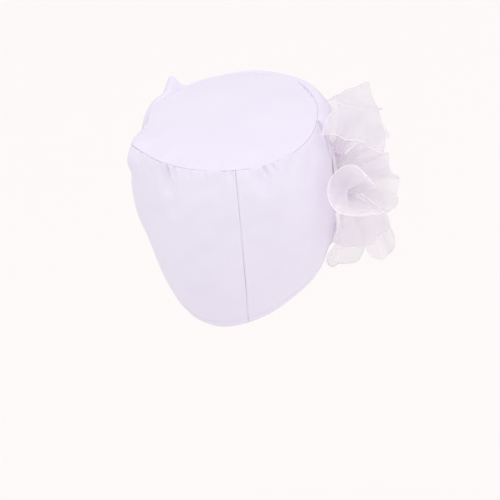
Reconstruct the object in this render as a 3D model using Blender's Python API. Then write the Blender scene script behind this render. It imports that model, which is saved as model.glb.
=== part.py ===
"""A ready-sewn turban hat with a large organza flower on the wearer's right side.

Metres, +Z up. The wearer faces -Y, so the nape is at +Y and the wearer's right side is at -X.
The origin is on the inside of the crown tip, where the top of the head bears on it.
An angle round the hat is 0 at the wearer's left, 90 at the nape, 180 at the right and 270 at the brow.
A place down the wall is 0 at the tip seam and 1 at the rim.
"""

import math

import bmesh
import bpy
from mathutils import Matrix, Vector

# Cloth and sewing.
CLOTH = 0.0018
ORGANZA = 0.0010
SEAM_GAP = 0.0003
HALF_SEAM = SEAM_GAP * 0.7

# The crown tip: a soft rounded panel that slopes down to the nape.
TIP_HALF_WIDTH = 0.091
TIP_HALF_LENGTH = 0.0915
TIP_SKEW = 0.030
TIP_CORNERS = 0.040
TIP_PUFF = 0.007
TIP_ROUND = 2.4
BACK_SLOPE = 15.7
SIDE_SLOPE = 1.4
SEAM_LEVEL = CLOTH - TIP_PUFF

# The rim: one tilted oval from the brow over the ears to the nape, slack on the flower's side.
RIM_HALF_WIDTH = 0.080
RIM_HALF_LENGTH = 0.0755
RIM_CORNERS = -0.080
RIM_MIDDLE = -0.0177
RIM_LEVEL = -0.154
RIM_SLOPE = 35.5

# How the side wall swells between the seam and the rim.
SWELL_AT_SEAM = 0.0128
SWELL_DROP = 0.038
SWELL_AT_SIDES = 0.023
SWELL_AT_NAPE = 0.0316
RIM_RISE = 0.0415

# Where the crown's outline is drawn in by the folds that end there, and beside it where it stands out.
OUTLINE_DENTS = (
    {"angle": 350, "spread": 17.0, "depth": 0.0108},
    {"angle": 14, "spread": 7.5, "depth": -0.0040},
)

# Gathers that the tip seam draws into the top of the wall. The first one stands out.
PUCKERS = (
    {"angle": 15, "spread": 10.0, "depth": -0.0032},
    {"angle": 25, "spread": 4.0, "depth": 0.0018},
    {"angle": 48, "spread": 4.0, "depth": 0.0030},
    {"angle": 79, "spread": 3.5, "depth": 0.0016},
    {"angle": 104, "spread": 4.0, "depth": 0.0030},
    {"angle": 124, "spread": 4.0, "depth": 0.0016},
)
PUCKER_LENGTH = 0.22

# Seams of the wall, as angles at the tip and at the rim.
BACK_SEAM = (90, 90)
RIGHT_SEAM = (167, 175)
LEFT_SEAM = (354, 348)

# The drape: folds that leave the left seam evenly spaced and draw together under the flower.
# Each fold's cross-section is a height at each step down it. The rest are shares of the way
# from the right seam to the left one.
FOLDS = 5
FOLD_SWELL = 0.0070
FOLD_STEPS = (0.0, 0.28, 0.60, 0.86)
FOLD_SHAPE = (0.0, 0.75, 1.0, 0.86)
HEM_SHAPE = 0.35
KNOT_PLACE = 0.46
KNOT_SPREAD = 0.20
KNOT_REACH = (-0.15, 0.75)
KNOT_FLAT = (0.012, 0.034)
RIGHT_RISE = (-0.10, 0.06)
LEFT_FALL = (0.78, 1.0)
LEFT_KEPT = 0.3
SEAM_LEAN = 0.14
TOP_FOLD_RISES = (
    {"angle": 206, "spread": 26, "rise": 0.0070},
    {"angle": 250, "spread": 9, "rise": 0.0030},
    {"angle": 316, "spread": 9, "rise": 0.0040},
)
# The end of the top fold stands straight up above the tip.
FOLD_END = {"angle": 304, "spread": 5, "rise": 0.0200}

# How finely the wall and tip are cut.
PANEL_COLUMNS = 12
WALL_ROWS = 10
DRAPE_COLUMNS = 28
TIP_RINGS = (0.90, 0.66, 0.34)

# The flower's place on the wall, and its round base.
FLOWER_ANGLE = 181
FLOWER_DOWN = 0.50
BASE_RADIUS = 0.030
BASE_SEAT = 0.0008
BASE_THICKNESS = 0.0016
BASE_SIDES = 20
WALL_RADIUS = 0.100
WALL_LENGTH = 0.160
ROOT_GAP = 0.0003
ROOT_WIDTH = 0.009

# The flower's own directions: up, towards the nape, and out from the head.
UP = Vector((0, 0, 1))
BACK = Vector((0, 1, 0))
OUT = Vector((-1, 0, 0))

# Petals. Each grows from a root on the base, given as its distance up and back from the middle in
# millimetres. Turn is its direction round the base, 0 up, 90 to the nape, 180 down and 270 to the brow.
# Lift tips it outwards, twist rolls its face, curl bends its outer half backwards, and cup and lip
# bend it into a trough across its width at root and rim, all in degrees. Length, width, the rounding
# of its corners and wave are in millimetres.
PETAL_COLUMNS = (
    "name", "up", "back", "turn", "lift", "twist", "length", "width", "curl", "cup", "lip",
    "rounding", "wave",
)
PETAL_ROWS = (
    ("petal_top", 12, -14, 342, 25, 90, 97, 55, 110, -90, 0, 10, 0.6),
    ("petal_top_back", 25, 8, 21, 26, 82, 92, 73, 102, 40, -110, 11, 1.5),
    ("petal_horn", -9, 20, 74, 11, -20, 66, 114, 60, 300, 290, 4, 0.6),
    ("petal_low_back", -24, 2, 103, 20, 90, 83, 64, 100, -40, -50, 10, 2),
    ("petal_low_inside", -28, -6, 140, 5, 56, 90, 44, 70, 50, 70, 18, 2),
    ("petal_low_outside", -20, -15, 138, 25, 90, 99, 38, 40, 70, 100, 18, 2),
    ("petal_low_front", -12, -24, 202, 22, 42, 92, 80, 60, 60, 50, 26, 3),
    ("petal_front_low", -2, -27, 230, 22, 42, 90, 80, 60, 60, 50, 26, 3),
    ("petal_front", 6, -26, 257, 24, 42, 84, 76, 60, 60, 50, 26, 3),
    ("petal_front_top", 13, -21, 294, 24, 42, 67, 70, 60, 60, 50, 26, 3),
    ("inner_back", 1, 10, 94, 50, 0, 74, 64, 10, 90, 60, 22, 3),
    ("inner_low", -8, 0, 150, 60, 14, 54, 54, 10, 80, 60, 22, 3),
    ("inner_front_low", -6, -8, 222, 54, 14, 67, 62, 10, 80, 60, 22, 3),
    ("inner_front_top", 4, -9, 284, 54, 14, 67, 62, 10, 80, 60, 22, 3),
    ("inner_top", 8, 1, 10, 58, 14, 62, 58, 10, 80, 60, 22, 3),
    ("heart", 0, 0, 0, 86, 0, 52, 48, 10, 290, 250, 10, 2),
)
# Single petals' own shapes. Peak is how far the bend is pushed up, in millimetres, and peak_at where
# across, from -1 to 1. Corner is the share by which the corner at -1 is drawn out, and slant the
# share by which the side at 1 is longer than the middle and the side at -1 shorter.
PLAIN_PETAL = {"peak": 0, "peak_at": 0, "corner": 0, "slant": 0}
PETAL_SHAPES = {
    "petal_top": {"peak": 24, "peak_at": -0.32, "slant": 0.25},
    "petal_top_back": {"peak": 18, "peak_at": -0.41, "slant": 0.02},
    "petal_horn": {"corner": 0.43},
}
PETALS = [
    {**PLAIN_PETAL, **dict(zip(PETAL_COLUMNS, row)), **PETAL_SHAPES.get(row[0], {})} for row in PETAL_ROWS
]
PETAL_ACROSS = 8
PETAL_ALONG = 8
PETAL_HOOK = (0.40, 0.70)
PETAL_WAVES = 2.5
PETAL_OPENING = 0.85
PEAK_RISE = (0.15, 0.50)
PEAK_FALL = (0.55, 1.00)
FLAT_TURN = 0.001

# Materials: colour, roughness and how much light passes.
LILAC_CLOTH = {"colour": (0.82, 0.78, 0.88), "roughness": 0.75, "clear": 0.0}
PALE_ORGANZA = {"colour": (0.90, 0.84, 0.90), "roughness": 0.45, "clear": 0.4}
BUCKRAM = {"colour": (0.85, 0.82, 0.86), "roughness": 0.85, "clear": 0.0}


def bump(value, centre, spread):
    """A smooth hump of height 1 at centre, taking angles the short way round."""
    away = (value - centre + 180) % 360 - 180
    return math.exp(-((away / spread) ** 2))


def smooth(value, start=0.0, end=1.0):
    """0 before start and 1 after end, level at both."""
    share = min(1.0, max(0.0, (value - start) / (end - start)))
    return share * share * (3 - 2 * share)


def mix(a, b, share):
    return a + (b - a) * share


def bezier(a, b, c, d, t):
    return (1 - t) ** 3 * a + 3 * (1 - t) ** 2 * t * b + 3 * (1 - t) * t * t * c + t**3 * d


def outward(angle):
    return Vector((math.cos(math.radians(angle)), math.sin(math.radians(angle)), 0))


def tip_radius(angle):
    """The tip's outline in plan, as a distance from the origin."""
    turn = math.radians(angle)
    oval = 1 / math.hypot(math.cos(turn) / TIP_HALF_WIDTH, math.sin(turn) / TIP_HALF_LENGTH)
    oval *= 1 + TIP_SKEW * math.sin(2 * turn) + TIP_CORNERS * math.cos(3 * turn)
    return oval - sum(d["depth"] * bump(angle, d["angle"], d["spread"]) for d in OUTLINE_DENTS)


def tip_point(angle, share):
    """A point of the tip's outside, from its middle at share 0 to the seam at share 1."""
    plan = outward(angle) * tip_radius(angle) * share
    slope = plan.x * math.tan(math.radians(SIDE_SLOPE)) + plan.y * math.tan(math.radians(BACK_SLOPE))
    plan.z = SEAM_LEVEL - slope + TIP_PUFF * (1 - share**TIP_ROUND)
    return plan


def rim_point(angle):
    turn = math.radians(angle)
    slack = 1 + RIM_CORNERS * math.cos(3 * turn)
    y = RIM_MIDDLE + RIM_HALF_LENGTH * math.sin(turn) * slack
    x = RIM_HALF_WIDTH * math.cos(turn) * slack
    return Vector((x, y, RIM_LEVEL - y * math.tan(math.radians(RIM_SLOPE))))


def wall_point(angle, down):
    """A point of the smooth wall's outside."""
    seam, rim, out = tip_point(angle, 1), rim_point(angle), outward(angle)
    swell = mix(SWELL_AT_SIDES, SWELL_AT_NAPE, smooth(out.y))
    above = seam + out * SWELL_AT_SEAM - Vector((0, 0, SWELL_DROP))
    below = rim + out * swell + Vector((0, 0, RIM_RISE))
    depth = sum(p["depth"] * bump(angle, p["angle"], p["spread"]) for p in PUCKERS)
    return bezier(seam, above, below, rim, down) - out * depth * math.sin(
        math.pi * min(1, down / PUCKER_LENGTH)
    )


def normal_of(point_at, angle, along, step=0.001):
    """The outward normal of the tip or the wall, from points a step away and a tenth of a degree."""
    turn = step * 100
    across = point_at(angle + turn, along) - point_at(angle - turn, along)
    near, far = max(along - step, 0), along + step
    return (point_at(angle, far) - point_at(angle, near)).cross(across).normalized()


def seam_normal(angle):
    """The direction that the tip seam is cut along, halfway between the tip's and the wall's."""
    return (normal_of(tip_point, angle, 1) + normal_of(wall_point, angle, 0)).normalized()


def seam_depth(angle):
    """How far the cloth's inside lies from its outside along the seam's direction."""
    return CLOTH / seam_normal(angle).dot(normal_of(wall_point, angle, 0))


def seam_angle(seam, down):
    return mix(seam[0], seam[1], down)


def closed_skin(name, outer, inner, finish):
    """One closed solid between two grids of points that match row for row."""
    mesh = bmesh.new()
    front = [[mesh.verts.new(p) for p in row] for row in outer]
    back = [[mesh.verts.new(p) for p in row] for row in inner]
    rows, columns = len(outer), len(outer[0])
    for r in range(rows - 1):
        for c in range(columns - 1):
            mesh.faces.new((front[r][c], front[r + 1][c], front[r + 1][c + 1], front[r][c + 1]))
            mesh.faces.new((back[r][c], back[r][c + 1], back[r + 1][c + 1], back[r + 1][c]))
    for c in range(columns - 1):
        mesh.faces.new((front[0][c], front[0][c + 1], back[0][c + 1], back[0][c]))
        mesh.faces.new((front[-1][c], back[-1][c], back[-1][c + 1], front[-1][c + 1]))
    for r in range(rows - 1):
        mesh.faces.new((front[r][0], back[r][0], back[r + 1][0], front[r + 1][0]))
        mesh.faces.new((front[r][-1], front[r + 1][-1], back[r + 1][-1], back[r][-1]))
    return finish_solid(name, mesh, finish)


def finish_solid(name, mesh, finish):
    bmesh.ops.recalc_face_normals(mesh, faces=mesh.faces)
    data = bpy.data.meshes.new(name)
    mesh.to_mesh(data)
    mesh.free()
    data.shade_smooth()
    data.set_sharp_from_angle(angle=math.radians(50))
    data.materials.append(finish)
    solid = bpy.data.objects.new(name, data)
    bpy.context.scene.collection.objects.link(solid)
    return solid


def material(name, colour, roughness, clear):
    finish = bpy.data.materials.new(name)
    finish.use_nodes = True
    shader = finish.node_tree.nodes["Principled BSDF"]
    shader.inputs["Base Color"].default_value = (*colour, 1)
    shader.inputs["Roughness"].default_value = roughness
    shader.inputs["Transmission Weight"].default_value = clear
    finish.diffuse_color = (*colour, 1)
    return finish


def wall_columns(start, end, count):
    """The seams' angles at each column, held half a gap in from both seams."""
    half_gap = math.degrees(SEAM_GAP / 2 / RIM_HALF_WIDTH)
    columns = []
    for c in range(count + 1):
        share = c / count
        inset = half_gap * (1 - 2 * share)
        columns.append((mix(start[0], end[0], share) + inset, mix(start[1], end[1], share) + inset))
    return columns


def top_edge(angle):
    """The wall's outer and inner edge at the tip seam, half a gap below it."""
    below = tip_point(angle, 1) - Vector((0, 0, HALF_SEAM))
    return below, below - seam_normal(angle) * seam_depth(angle)


def make_panel(name, start, end, finish):
    """A smooth stretch of the wall between two seams."""
    outer, inner = [], []
    columns = wall_columns(start, end, PANEL_COLUMNS)
    for row in range(WALL_ROWS + 1):
        down = row / WALL_ROWS
        angles = [seam_angle(column, down) for column in columns]
        if row == 0:
            edges = [top_edge(angle) for angle in angles]
            outer.append([edge[0] for edge in edges])
            inner.append([edge[1] for edge in edges])
            continue
        outer.append([wall_point(angle, down) for angle in angles])
        inner.append([wall_point(a, down) - normal_of(wall_point, a, down) * CLOTH for a in angles])
    return closed_skin(name, outer, inner, finish)


def fold_edge(fold, share):
    """How far down the wall a fold starts: the folds draw together at the flower."""
    if fold in (0, FOLDS):
        return fold / FOLDS
    knot = KNOT_PLACE + KNOT_SPREAD * (fold / FOLDS - 0.5)
    return mix(knot, fold / FOLDS, smooth(share, *KNOT_REACH))


def clear_of_base(angle, down):
    """0 where the flower's base lies on the wall and 1 well clear of it."""
    back = math.radians(FLOWER_ANGLE - angle) * WALL_RADIUS
    up = (FLOWER_DOWN - down) * WALL_LENGTH
    return smooth(math.hypot(up, back) - BASE_RADIUS, *KNOT_FLAT)


def fold_height(fold, shape, share, angle, down):
    """How far a fold stands off the wall and how far up it is drawn."""
    flat = clear_of_base(angle, down) * smooth(share, *RIGHT_RISE)
    flat *= mix(1, LEFT_KEPT, smooth(share, *LEFT_FALL))
    if fold > 0:
        return shape * flat * FOLD_SWELL, 0
    rise = sum(r["rise"] * bump(angle, r["angle"], r["spread"]) for r in TOP_FOLD_RISES)
    end = FOLD_END["rise"] * bump(angle, FOLD_END["angle"], FOLD_END["spread"])
    return shape * flat * (FOLD_SWELL + rise), shape * end


def make_drape(finish):
    """The folded front of the wall, from the right seam across the brow to the left seam."""
    outer, inner = [], []
    columns = wall_columns(RIGHT_SEAM, LEFT_SEAM, DRAPE_COLUMNS)
    rows = [(fold, step, shape) for fold in range(FOLDS) for step, shape in zip(FOLD_STEPS, FOLD_SHAPE)]
    rows.append((FOLDS - 1, 1.0, HEM_SHAPE))
    for number, (fold, step, shape) in enumerate(rows):
        outside, inside = [], []
        for c, column in enumerate(columns):
            share = c / DRAPE_COLUMNS
            down = mix(fold_edge(fold, share), fold_edge(fold + 1, share), step)
            angle = seam_angle(column, down)
            if number == 0:
                edge = top_edge(angle)
                outside.append(edge[0])
                inside.append(edge[1])
                continue
            square = normal_of(wall_point, angle, down)
            lean = mix(seam_normal(angle), square, smooth(down, 0, SEAM_LEAN)).normalized()
            surface = wall_point(angle, down)
            height, drawn_up = fold_height(fold, shape, share, angle, down)
            outside.append(surface + lean * height + UP * drawn_up)
            inside.append(surface - square * CLOTH)
        outer.append(outside)
        inner.append(inside)
    return closed_skin("front_drape", outer, inner, finish)


def make_tip(finish):
    """The top panel, with a corner at each column of the wall below it."""
    angles = [mix(LEFT_SEAM[0] - 360, BACK_SEAM[0], c / PANEL_COLUMNS) for c in range(PANEL_COLUMNS)]
    angles += [mix(BACK_SEAM[0], RIGHT_SEAM[0], c / PANEL_COLUMNS) for c in range(PANEL_COLUMNS)]
    angles += [mix(RIGHT_SEAM[0], LEFT_SEAM[0], c / DRAPE_COLUMNS) for c in range(DRAPE_COLUMNS)]
    mesh = bmesh.new()
    edge_share = 1 - HALF_SEAM / TIP_HALF_WIDTH
    rims = [tip_point(a, edge_share) for a in angles]
    outer_rings = [[mesh.verts.new(p) for p in rims]]
    inner_rings = [[mesh.verts.new(p - seam_normal(a) * seam_depth(a)) for p, a in zip(rims, angles)]]
    for share in TIP_RINGS:
        points = [tip_point(a, share) for a in angles]
        outer_rings.append([mesh.verts.new(p) for p in points])
        inner_rings.append(
            [mesh.verts.new(p - normal_of(tip_point, a, share) * CLOTH) for p, a in zip(points, angles)]
        )
    top = mesh.verts.new((0, 0, CLOTH))
    bottom = mesh.verts.new((0, 0, 0))
    count = len(angles)
    for i in range(count):
        j = (i + 1) % count
        for rings in (outer_rings, inner_rings):
            for wide, narrow in zip(rings, rings[1:]):
                mesh.faces.new((wide[i], wide[j], narrow[j], narrow[i]))
        mesh.faces.new((outer_rings[-1][i], outer_rings[-1][j], top))
        mesh.faces.new((inner_rings[-1][i], inner_rings[-1][j], bottom))
        mesh.faces.new((outer_rings[0][i], outer_rings[0][j], inner_rings[0][j], inner_rings[0][i]))
    return finish_solid("crown_tip", mesh, finish)


def flower_seat(up, back):
    """A point of the wall and its normal, by its distance up and back from the flower's middle."""
    angle = FLOWER_ANGLE - math.degrees(back / WALL_RADIUS)
    down = FLOWER_DOWN - up / WALL_LENGTH
    return wall_point(angle, down), normal_of(wall_point, angle, down)


def make_base(finish):
    """A round of buckram that follows the wall and carries the petals."""
    mesh = bmesh.new()
    faces = []
    for height in (BASE_SEAT, BASE_SEAT + BASE_THICKNESS):
        place, normal = flower_seat(0, 0)
        middle = mesh.verts.new(place + normal * height)
        rings = []
        for radius in (BASE_RADIUS * 0.5, BASE_RADIUS):
            turns = [math.tau * i / BASE_SIDES for i in range(BASE_SIDES)]
            seats = [flower_seat(radius * math.cos(t), radius * math.sin(t)) for t in turns]
            rings.append([mesh.verts.new(place + normal * height) for place, normal in seats])
        faces.append((middle, rings))
    for i in range(BASE_SIDES):
        j = (i + 1) % BASE_SIDES
        for middle, (small, large) in faces:
            mesh.faces.new((middle, small[i], small[j]))
            mesh.faces.new((small[i], large[i], large[j], small[j]))
        under, over = faces[0][1][1], faces[1][1][1]
        mesh.faces.new((under[i], under[j], over[j], over[i]))
    return finish_solid("flower_base", mesh, finish)


def petal_spine(petal, steps=24):
    """The petal's middle line: points, directions and faces from root to rim."""
    turn, lift = math.radians(petal["turn"]), math.radians(petal["lift"])
    radial = UP * math.cos(turn) + BACK * math.sin(turn)
    along = radial * math.cos(lift) + OUT * math.sin(lift)
    face = OUT * math.cos(lift) - radial * math.sin(lift)
    face = Matrix.Rotation(math.radians(petal["twist"]), 3, along) @ face
    place, normal = flower_seat(petal["up"] / 1000, petal["back"] / 1000)
    root = [petal_point(petal, [(place, along, face)] * 2, side, 0) for side in (-1, -0.5, 0, 0.5, 1)]
    lowest = min((point - place).dot(normal) for point in root)
    edge = ORGANZA / 2 * (abs(face.dot(normal)) + abs(along.cross(face).dot(normal)))
    place += normal * (BASE_SEAT + BASE_THICKNESS + ROOT_GAP - lowest + edge)
    spine = []
    for step in range(steps + 1):
        share = step / steps
        bend = math.radians(petal["curl"]) * smooth(share, *PETAL_HOOK)
        direction = along * math.cos(bend) - face * math.sin(bend)
        spine.append((place.copy(), direction, face * math.cos(bend) + along * math.sin(bend)))
        place += direction * petal["length"] / 1000 / steps
    return spine


def petal_point(petal, spine, across, along):
    """A point of the petal's middle surface: across is -1 to 1 and along is 0 to 1."""
    trim = petal["rounding"] / petal["length"] * across * across - petal["slant"] * across
    reach = along * (1 - trim * along)
    step = reach * (len(spine) - 1)
    near = min(int(step), len(spine) - 2)
    place, direction, face = (mix(a, b, step - near) for a, b in zip(spine[near], spine[near + 1]))
    side = direction.cross(face).normalized()
    top = petal["peak_at"]
    tent = 1 - abs(across - top) / (1 - top if across > top else 1 + top)
    push = smooth(along, *PEAK_RISE) - smooth(along, *PEAK_FALL)
    place = place + spine[0][1] * tent * petal["peak"] / 1000 * push
    width = mix(ROOT_WIDTH, petal["width"] / 1000, smooth(along**PETAL_OPENING))
    cup = math.radians(mix(petal["cup"], petal["lip"], along))
    turn = across * cup / 2
    half = width / 2 * across * (1 - petal["corner"] * min(across, 0) ** 3)
    phase = PETAL_WAVES * math.pi * across + petal["turn"]
    ruffle = petal["wave"] / 1000 * along**2 * math.sin(phase)
    if abs(turn) < FLAT_TURN:
        return place + side * half + face * ruffle
    return place + (side * math.sin(turn) + face * (1 - math.cos(turn))) * half / turn + face * ruffle


def make_petal(petal, finish):
    spine = petal_spine(petal)
    step = 0.01
    outer, inner = [], []
    for row in range(PETAL_ALONG + 1):
        along = row / PETAL_ALONG
        outside, inside = [], []
        for column in range(PETAL_ACROSS + 1):
            across = 2 * column / PETAL_ACROSS - 1
            wide = petal_point(petal, spine, across + step, along) - petal_point(
                petal, spine, across - step, along
            )
            long = petal_point(petal, spine, across, along + step) - petal_point(
                petal, spine, across, max(along - step, 0)
            )
            square = wide.cross(long).normalized() * ORGANZA / 2
            middle = petal_point(petal, spine, across, along)
            outside.append(middle + square)
            inside.append(middle - square)
        outer.append(outside)
        inner.append(inside)
    return closed_skin(petal["name"], outer, inner, finish)


def main():
    for old in list(bpy.data.objects):
        bpy.data.objects.remove(old, do_unlink=True)
    cloth = material("lilac_cloth", **LILAC_CLOTH)
    organza = material("pale_organza", **PALE_ORGANZA)
    make_tip(cloth)
    make_panel("back_panel_left", (LEFT_SEAM[0] - 360, LEFT_SEAM[1] - 360), BACK_SEAM, cloth)
    make_panel("back_panel_right", BACK_SEAM, RIGHT_SEAM, cloth)
    make_drape(cloth)
    make_base(material("white_buckram", **BUCKRAM))
    for petal in PETALS:
        make_petal(petal, organza)


main()
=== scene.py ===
import math

import bmesh
import bpy
import numpy as np
from mathutils import Matrix, Vector


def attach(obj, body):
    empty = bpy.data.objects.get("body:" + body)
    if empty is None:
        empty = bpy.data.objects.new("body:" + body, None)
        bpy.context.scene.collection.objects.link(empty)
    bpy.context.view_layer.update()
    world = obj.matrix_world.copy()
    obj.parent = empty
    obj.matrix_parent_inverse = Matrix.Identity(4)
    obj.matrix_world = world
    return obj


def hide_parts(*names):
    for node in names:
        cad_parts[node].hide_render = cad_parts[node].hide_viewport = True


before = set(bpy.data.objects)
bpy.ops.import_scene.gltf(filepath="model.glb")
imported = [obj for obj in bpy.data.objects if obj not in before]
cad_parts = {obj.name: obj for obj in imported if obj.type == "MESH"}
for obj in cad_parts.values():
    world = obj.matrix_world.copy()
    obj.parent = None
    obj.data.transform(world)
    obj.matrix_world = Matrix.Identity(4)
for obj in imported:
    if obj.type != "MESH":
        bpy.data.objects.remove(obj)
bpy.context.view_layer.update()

# The dressed look of a ready-sewn turban hat with a large organza flower. Metres, +Z up. The wearer
# faces -Y, the nape is at +Y and the wearer's right is at -X. An angle round the hat is 0 at the
# wearer's left, 90 at the nape, 180 at the right and 270 at the brow. A place down the wall is 0 at
# the tip seam and 1 at the rim. Lengths are metres and angles are degrees unless a comment says so.

# Camera and light.
AIM = Vector((-0.009, 0.0, -0.1397))
AZIMUTH, ELEVATION, ROLL = 178.68, 18.15, 5.2
DISTANCE = 1.6
LENS, SENSOR = 115.2, 36.0
CLIP_START, CLIP_END = 0.05, 200
FLOOR_LEVEL, FLOOR_SIZE = -1.0, 60.0
FLOOR_COLOUR, FLOOR_SHADE = (0.962, 0.935, 0.928), 0.995
SKY_COLOUR, SKY_STRENGTH = (1.0, 0.985, 0.985), 0.605
# Soft suns: name, strength, azimuth and elevation.
SUNS = (("high_key", 1.03, 172, 68), ("right_fill", 0.54, 238, 26), ("left_fill", 0.34, 100, 26))
SUN_ANGLE = 60

# Colours of the finishes.
LILAC = ((0.812, 0.772, 0.903), (0.842, 0.802, 0.932))
ORGANZA_WHITE = ((0.983, 0.958, 0.994), (0.991, 0.973, 1.0))
# The first colour on the next line is painted shade: near their roots, deep in the flower where shade falls,
# the petals are painted darker and pinker towards it.
ORGANZA_ROOT_SHADE, ORGANZA_LIT = (0.885, 0.79, 0.905), (0.987, 0.960, 0.994)
BUCKRAM_WHITE = ((0.82, 0.79, 0.84), (0.88, 0.85, 0.89))
# How much organza covers what lies behind it: plain, gathered at its root as well, and in its hem.
PLAIN_COVER, ROOT_COVER, HEM_COVER = 0.25, 0.48, 0.50
# The share of organza that is lit through from behind, and how much less of its hem is.
LIT_THROUGH, HEM_DULLS = 0.32, 0.12

# Cloth and sewing.
CLOTH = 0.0018
SEAM_GAP = 0.0003
# The tip and the wall each stay this far from the tip seam.
HALF_SEAM = SEAM_GAP * 0.7
# The panels' insides come this close together at a seam, so no light shows through it.
SEAM_SHUT = 0.00004
# The cloth rolls down into a seam: how far from it and how deep, at the tip seam and at the others.
SEAM_ROLL, SEAM_SINK = 0.0022, 0.0008
BACK_ROLL, BACK_SINK = 0.0010, 0.0007
# The seam allowance under the centre back seam: how high it shows, where and how wide.
BACK_RIDGE, BACK_RIDGE_AT, BACK_RIDGE_WIDE = 0.0004, 0.0021, 0.0008
# The hem's band, the stitched groove above it and its rounded edge.
HEM_WIDTH, HEM_LIFT = 0.0070, 0.0006
HEM_STEP = (HEM_WIDTH - 0.0004, HEM_WIDTH + 0.0012)
HEM_GROOVE, HEM_GROOVE_AT, HEM_GROOVE_WIDE = 0.0005, HEM_WIDTH + 0.0006, 0.0007
HEM_EDGE = 0.0012
# How strongly a mesh's columns and rows crowd towards a seam or a rim.
CROWD, PETAL_CROWD = 0.90, 0.95
# Edges that turn by more than this stay sharp.
SHARP_FROM = 62

# Small gathers and soft unevenness of the cloth: how high, and how far they reach or how long.
GATHER_SEED, GATHER_SPREAD = 5, 9
TIP_GATHER, TIP_GATHER_REACH = 0.00035, 0.010
TIP_RIPPLE, TIP_RIPPLE_LENGTH, TIP_SEED = 0.00045, 0.055, 2
WALL_GATHER, WALL_GATHER_REACH, WALL_GATHER_START = 0.00055, 0.009, 0.003
LONG_RIPPLE, LONG_RIPPLE_LENGTH, LONG_RIPPLE_START, LONG_SEED = 0.0006, 0.060, 0.2, 11
SHORT_RIPPLE, SHORT_RIPPLE_LENGTH, SHORT_SEED = 0.00025, 0.022, 12

# The crown tip.
TIP_HALF_WIDTH, TIP_HALF_LENGTH = 0.091, 0.0915
TIP_SKEW, TIP_CORNERS = 0.030, 0.040
TIP_PUFF, TIP_ROUND = 0.007, 2.4
BACK_SLOPE, SIDE_SLOPE = 15.7, 1.4
SEAM_LEVEL = CLOTH - TIP_PUFF
# The tip's mesh: columns, rows and how near its middle the rows end, as a share.
TIP_COLUMNS, TIP_ROWS, TIP_POLE = 320, 60, 0.012
# Where the cloth's thickness turns to lie along the seam, as shares of the tip and of the wall.
TIP_TURN, WALL_TURN = 0.90, 0.07

# The rim.
RIM_HALF_WIDTH, RIM_HALF_LENGTH = 0.080, 0.0755
RIM_CORNERS = -0.080
RIM_MIDDLE, RIM_LEVEL, RIM_SLOPE = -0.0177, -0.154, 35.5

# The wall's swell between the seam and the rim.
SWELL_AT_SEAM, SWELL_DROP = 0.0128, 0.038
SWELL_AT_SIDES, SWELL_AT_NAPE = 0.023, 0.0316
RIM_RISE = 0.0415
# Dents in the tip's outline, less than 0 where it stands out: angle, spread and depth.
OUTLINE_DENTS = ((350, 17.0, 0.0108), (14, 7.5, -0.0040))

# Gathers that the tip seam draws into the top of the wall, less than 0 where the wall stands out:
# angle, spread and depth.
PUCKERS = (
    (15, 10.0, -0.0032), (25, 4.0, 0.0018), (48, 4.0, 0.0030), (79, 3.5, 0.0016), (104, 4.0, 0.0030),
    (124, 4.0, 0.0016),
)
PUCKER_LENGTH = 0.22
# The same gathers on the tip: their depth and spread as shares of the wall's, and how far they reach.
TIP_PULL, TIP_PULL_SPREAD, TIP_PULL_REACH = 0.5, 1.3, 0.016
# Sharp creases below the tip seam: angle, how far that leans by the rim, width in degrees, depth and
# length as a share of the wall.
CREASES = (
    (41.5, 10, 1.3, 0.0015, 0.13), (46.0, 30, 1.0, 0.0021, 0.16), (51.0, 14, 1.2, 0.0014, 0.10),
    (62.0, -12, 1.1, 0.0007, 0.08), (71.0, 10, 1.2, 0.0008, 0.09), (83.5, -16, 1.0, 0.0012, 0.10),
    (87.5, -8, 0.9, 0.0008, 0.07), (97.0, 8, 1.1, 0.0008, 0.08), (106.5, 14, 1.1, 0.0019, 0.11),
    (111.0, 26, 1.0, 0.0016, 0.09), (117.0, 10, 1.3, 0.0011, 0.12), (129.0, 12, 1.2, 0.0010, 0.10),
    (24.0, -10, 1.4, 0.0009, 0.12), (142.0, 10, 1.4, 0.0007, 0.09),
)
# A crease starts this far down the wall and fades from this share of its length on.
CREASE_START, CREASE_FADE = 0.012, 0.25
# The fold beside a crease: its height and how far away it is, as shares of the depth and the width.
CREASE_FOLD, CREASE_FOLD_AT = 0.8, 1.7
# Where the tip is drawn deepest under the top fold.
DEEP_SEAM_AT, DEEP_SEAM_SPREAD, DEEP_SEAM = 204, 15, 0.0020

# Seams of the wall, as angles at the tip and at the rim.
BACK_SEAM, RIGHT_SEAM, LEFT_SEAM = (90, 90), (167, 175), (354, 348)
# Columns and rows of a back panel's mesh.
PANEL_GRID = (220, 140)

# The drape.
FOLDS = 5
FOLD_SWELL = 0.0070
# Under the flower the folds draw together at this place down the wall, within this much of it. They
# part again between these shares of the drape.
KNOT_PLACE, KNOT_SPREAD, KNOT_REACH = 0.46, 0.20, (-0.15, 0.75)
# They flatten towards the flower's base, between these distances from its edge.
KNOT_FLAT = (0.012, 0.034)
# They rise from the right seam and fall towards the left one, where this share of them is left.
RIGHT_RISE, LEFT_FALL, LEFT_KEPT = (-0.10, 0.06), (0.78, 1.0), 0.3
# They lean with the tip seam down to this place.
SEAM_LEAN = 0.14
# Rises of the top fold: angle, spread and how far it stands out.
TOP_FOLD_RISES = ((206, 26, 0.0070), (250, 9, 0.0030), (316, 9, 0.0040))
# The end of the top fold stands straight up above the tip: angle, spread and rise.
FOLD_END = (304, 5, 0.0200)
# The top pleat is full this close to the tip seam, as a share of it, and rounds up to that.
TOP_FULL, TOP_ROUND = 0.55, 0.75
# From this place down the last pleat on, its rows are drawn in over this reach to end at the rim, and
# they keep at least this height.
LAST_FROM, LAST_REACH, LAST_HEIGHT = 0.84, 0.25, 0.35
DRAPE_COLUMNS, PLEAT_ROWS = 320, 30
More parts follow.
